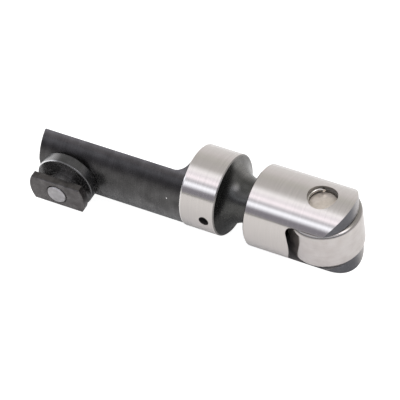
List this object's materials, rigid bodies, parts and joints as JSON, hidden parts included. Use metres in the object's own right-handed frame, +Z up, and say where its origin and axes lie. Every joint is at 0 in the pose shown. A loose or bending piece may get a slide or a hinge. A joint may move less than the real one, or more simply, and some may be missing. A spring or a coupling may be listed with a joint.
{
  "type": "roller lifter",
  "caption": "Solid roller lifter: two ground lands, a forked end with a needle-bearing roller, and a half-moon tower with a guide button for a link bar.",
  "frame": {"origin": "middle of the footprint, on the surface that the lifter lies on", "axes": "+X along the lifter from the tower to the roller, +Z up, the guide button leans towards -Y"},
  "size_m": [0.0862, 0.028, 0.0214],
  "materials": {
    "body_steel": "black oxide, with ground lands",
    "roller_steel": "ground bright",
    "axle_steel": "ground, warm grey",
    "clip_wire": "drawn spring wire",
    "cup_steel": "hardened, with a polished socket",
    "button_steel": "black oxide",
    "rivet_steel": "plain steel, turned end",
    "needle_steel": "ground and polished"
  },
  "bodies": {
    "lifter": {"lifter_body": "body_steel", "axle_pin": "axle_steel", "axle_clip_front": "clip_wire", "axle_clip_back": "clip_wire", "pushrod_cup": "cup_steel", "guide_button": "button_steel", "button_rivet": "rivet_steel"},
    "roller": {"roller": "roller_steel"},
    "needle_set": {"needle_01": "needle_steel", "needle_02": "needle_steel", "needle_03": "needle_steel", "needle_04": "needle_steel", "needle_05": "needle_steel", "needle_06": "needle_steel", "needle_07": "needle_steel", "needle_08": "needle_steel", "needle_09": "needle_steel", "needle_10": "needle_steel", "needle_11": "needle_steel", "needle_12": "needle_steel", "needle_13": "needle_steel", "needle_14": "needle_steel", "needle_15": "needle_steel", "needle_16": "needle_steel", "needle_17": "needle_steel", "needle_18": "needle_steel"}
  },
  "joints": [
    {"name": "roller_spin", "type": "hinge", "parent": "lifter", "child": "roller", "pos_m": [0.03359, 0.0033, 0.01069], "axis": [0, -0.2515, 0.9679], "continuous": true},
    {"name": "needle_orbit", "type": "hinge", "parent": "lifter", "child": "needle_set", "pos_m": [0.03359, 0.0033, 0.01069], "axis": [0, -0.2515, 0.9679], "continuous": true}
  ],
  "couplings": [
    {"joint": "needle_orbit", "follows": "roller_spin", "ratio": 0.58474}
  ]
}
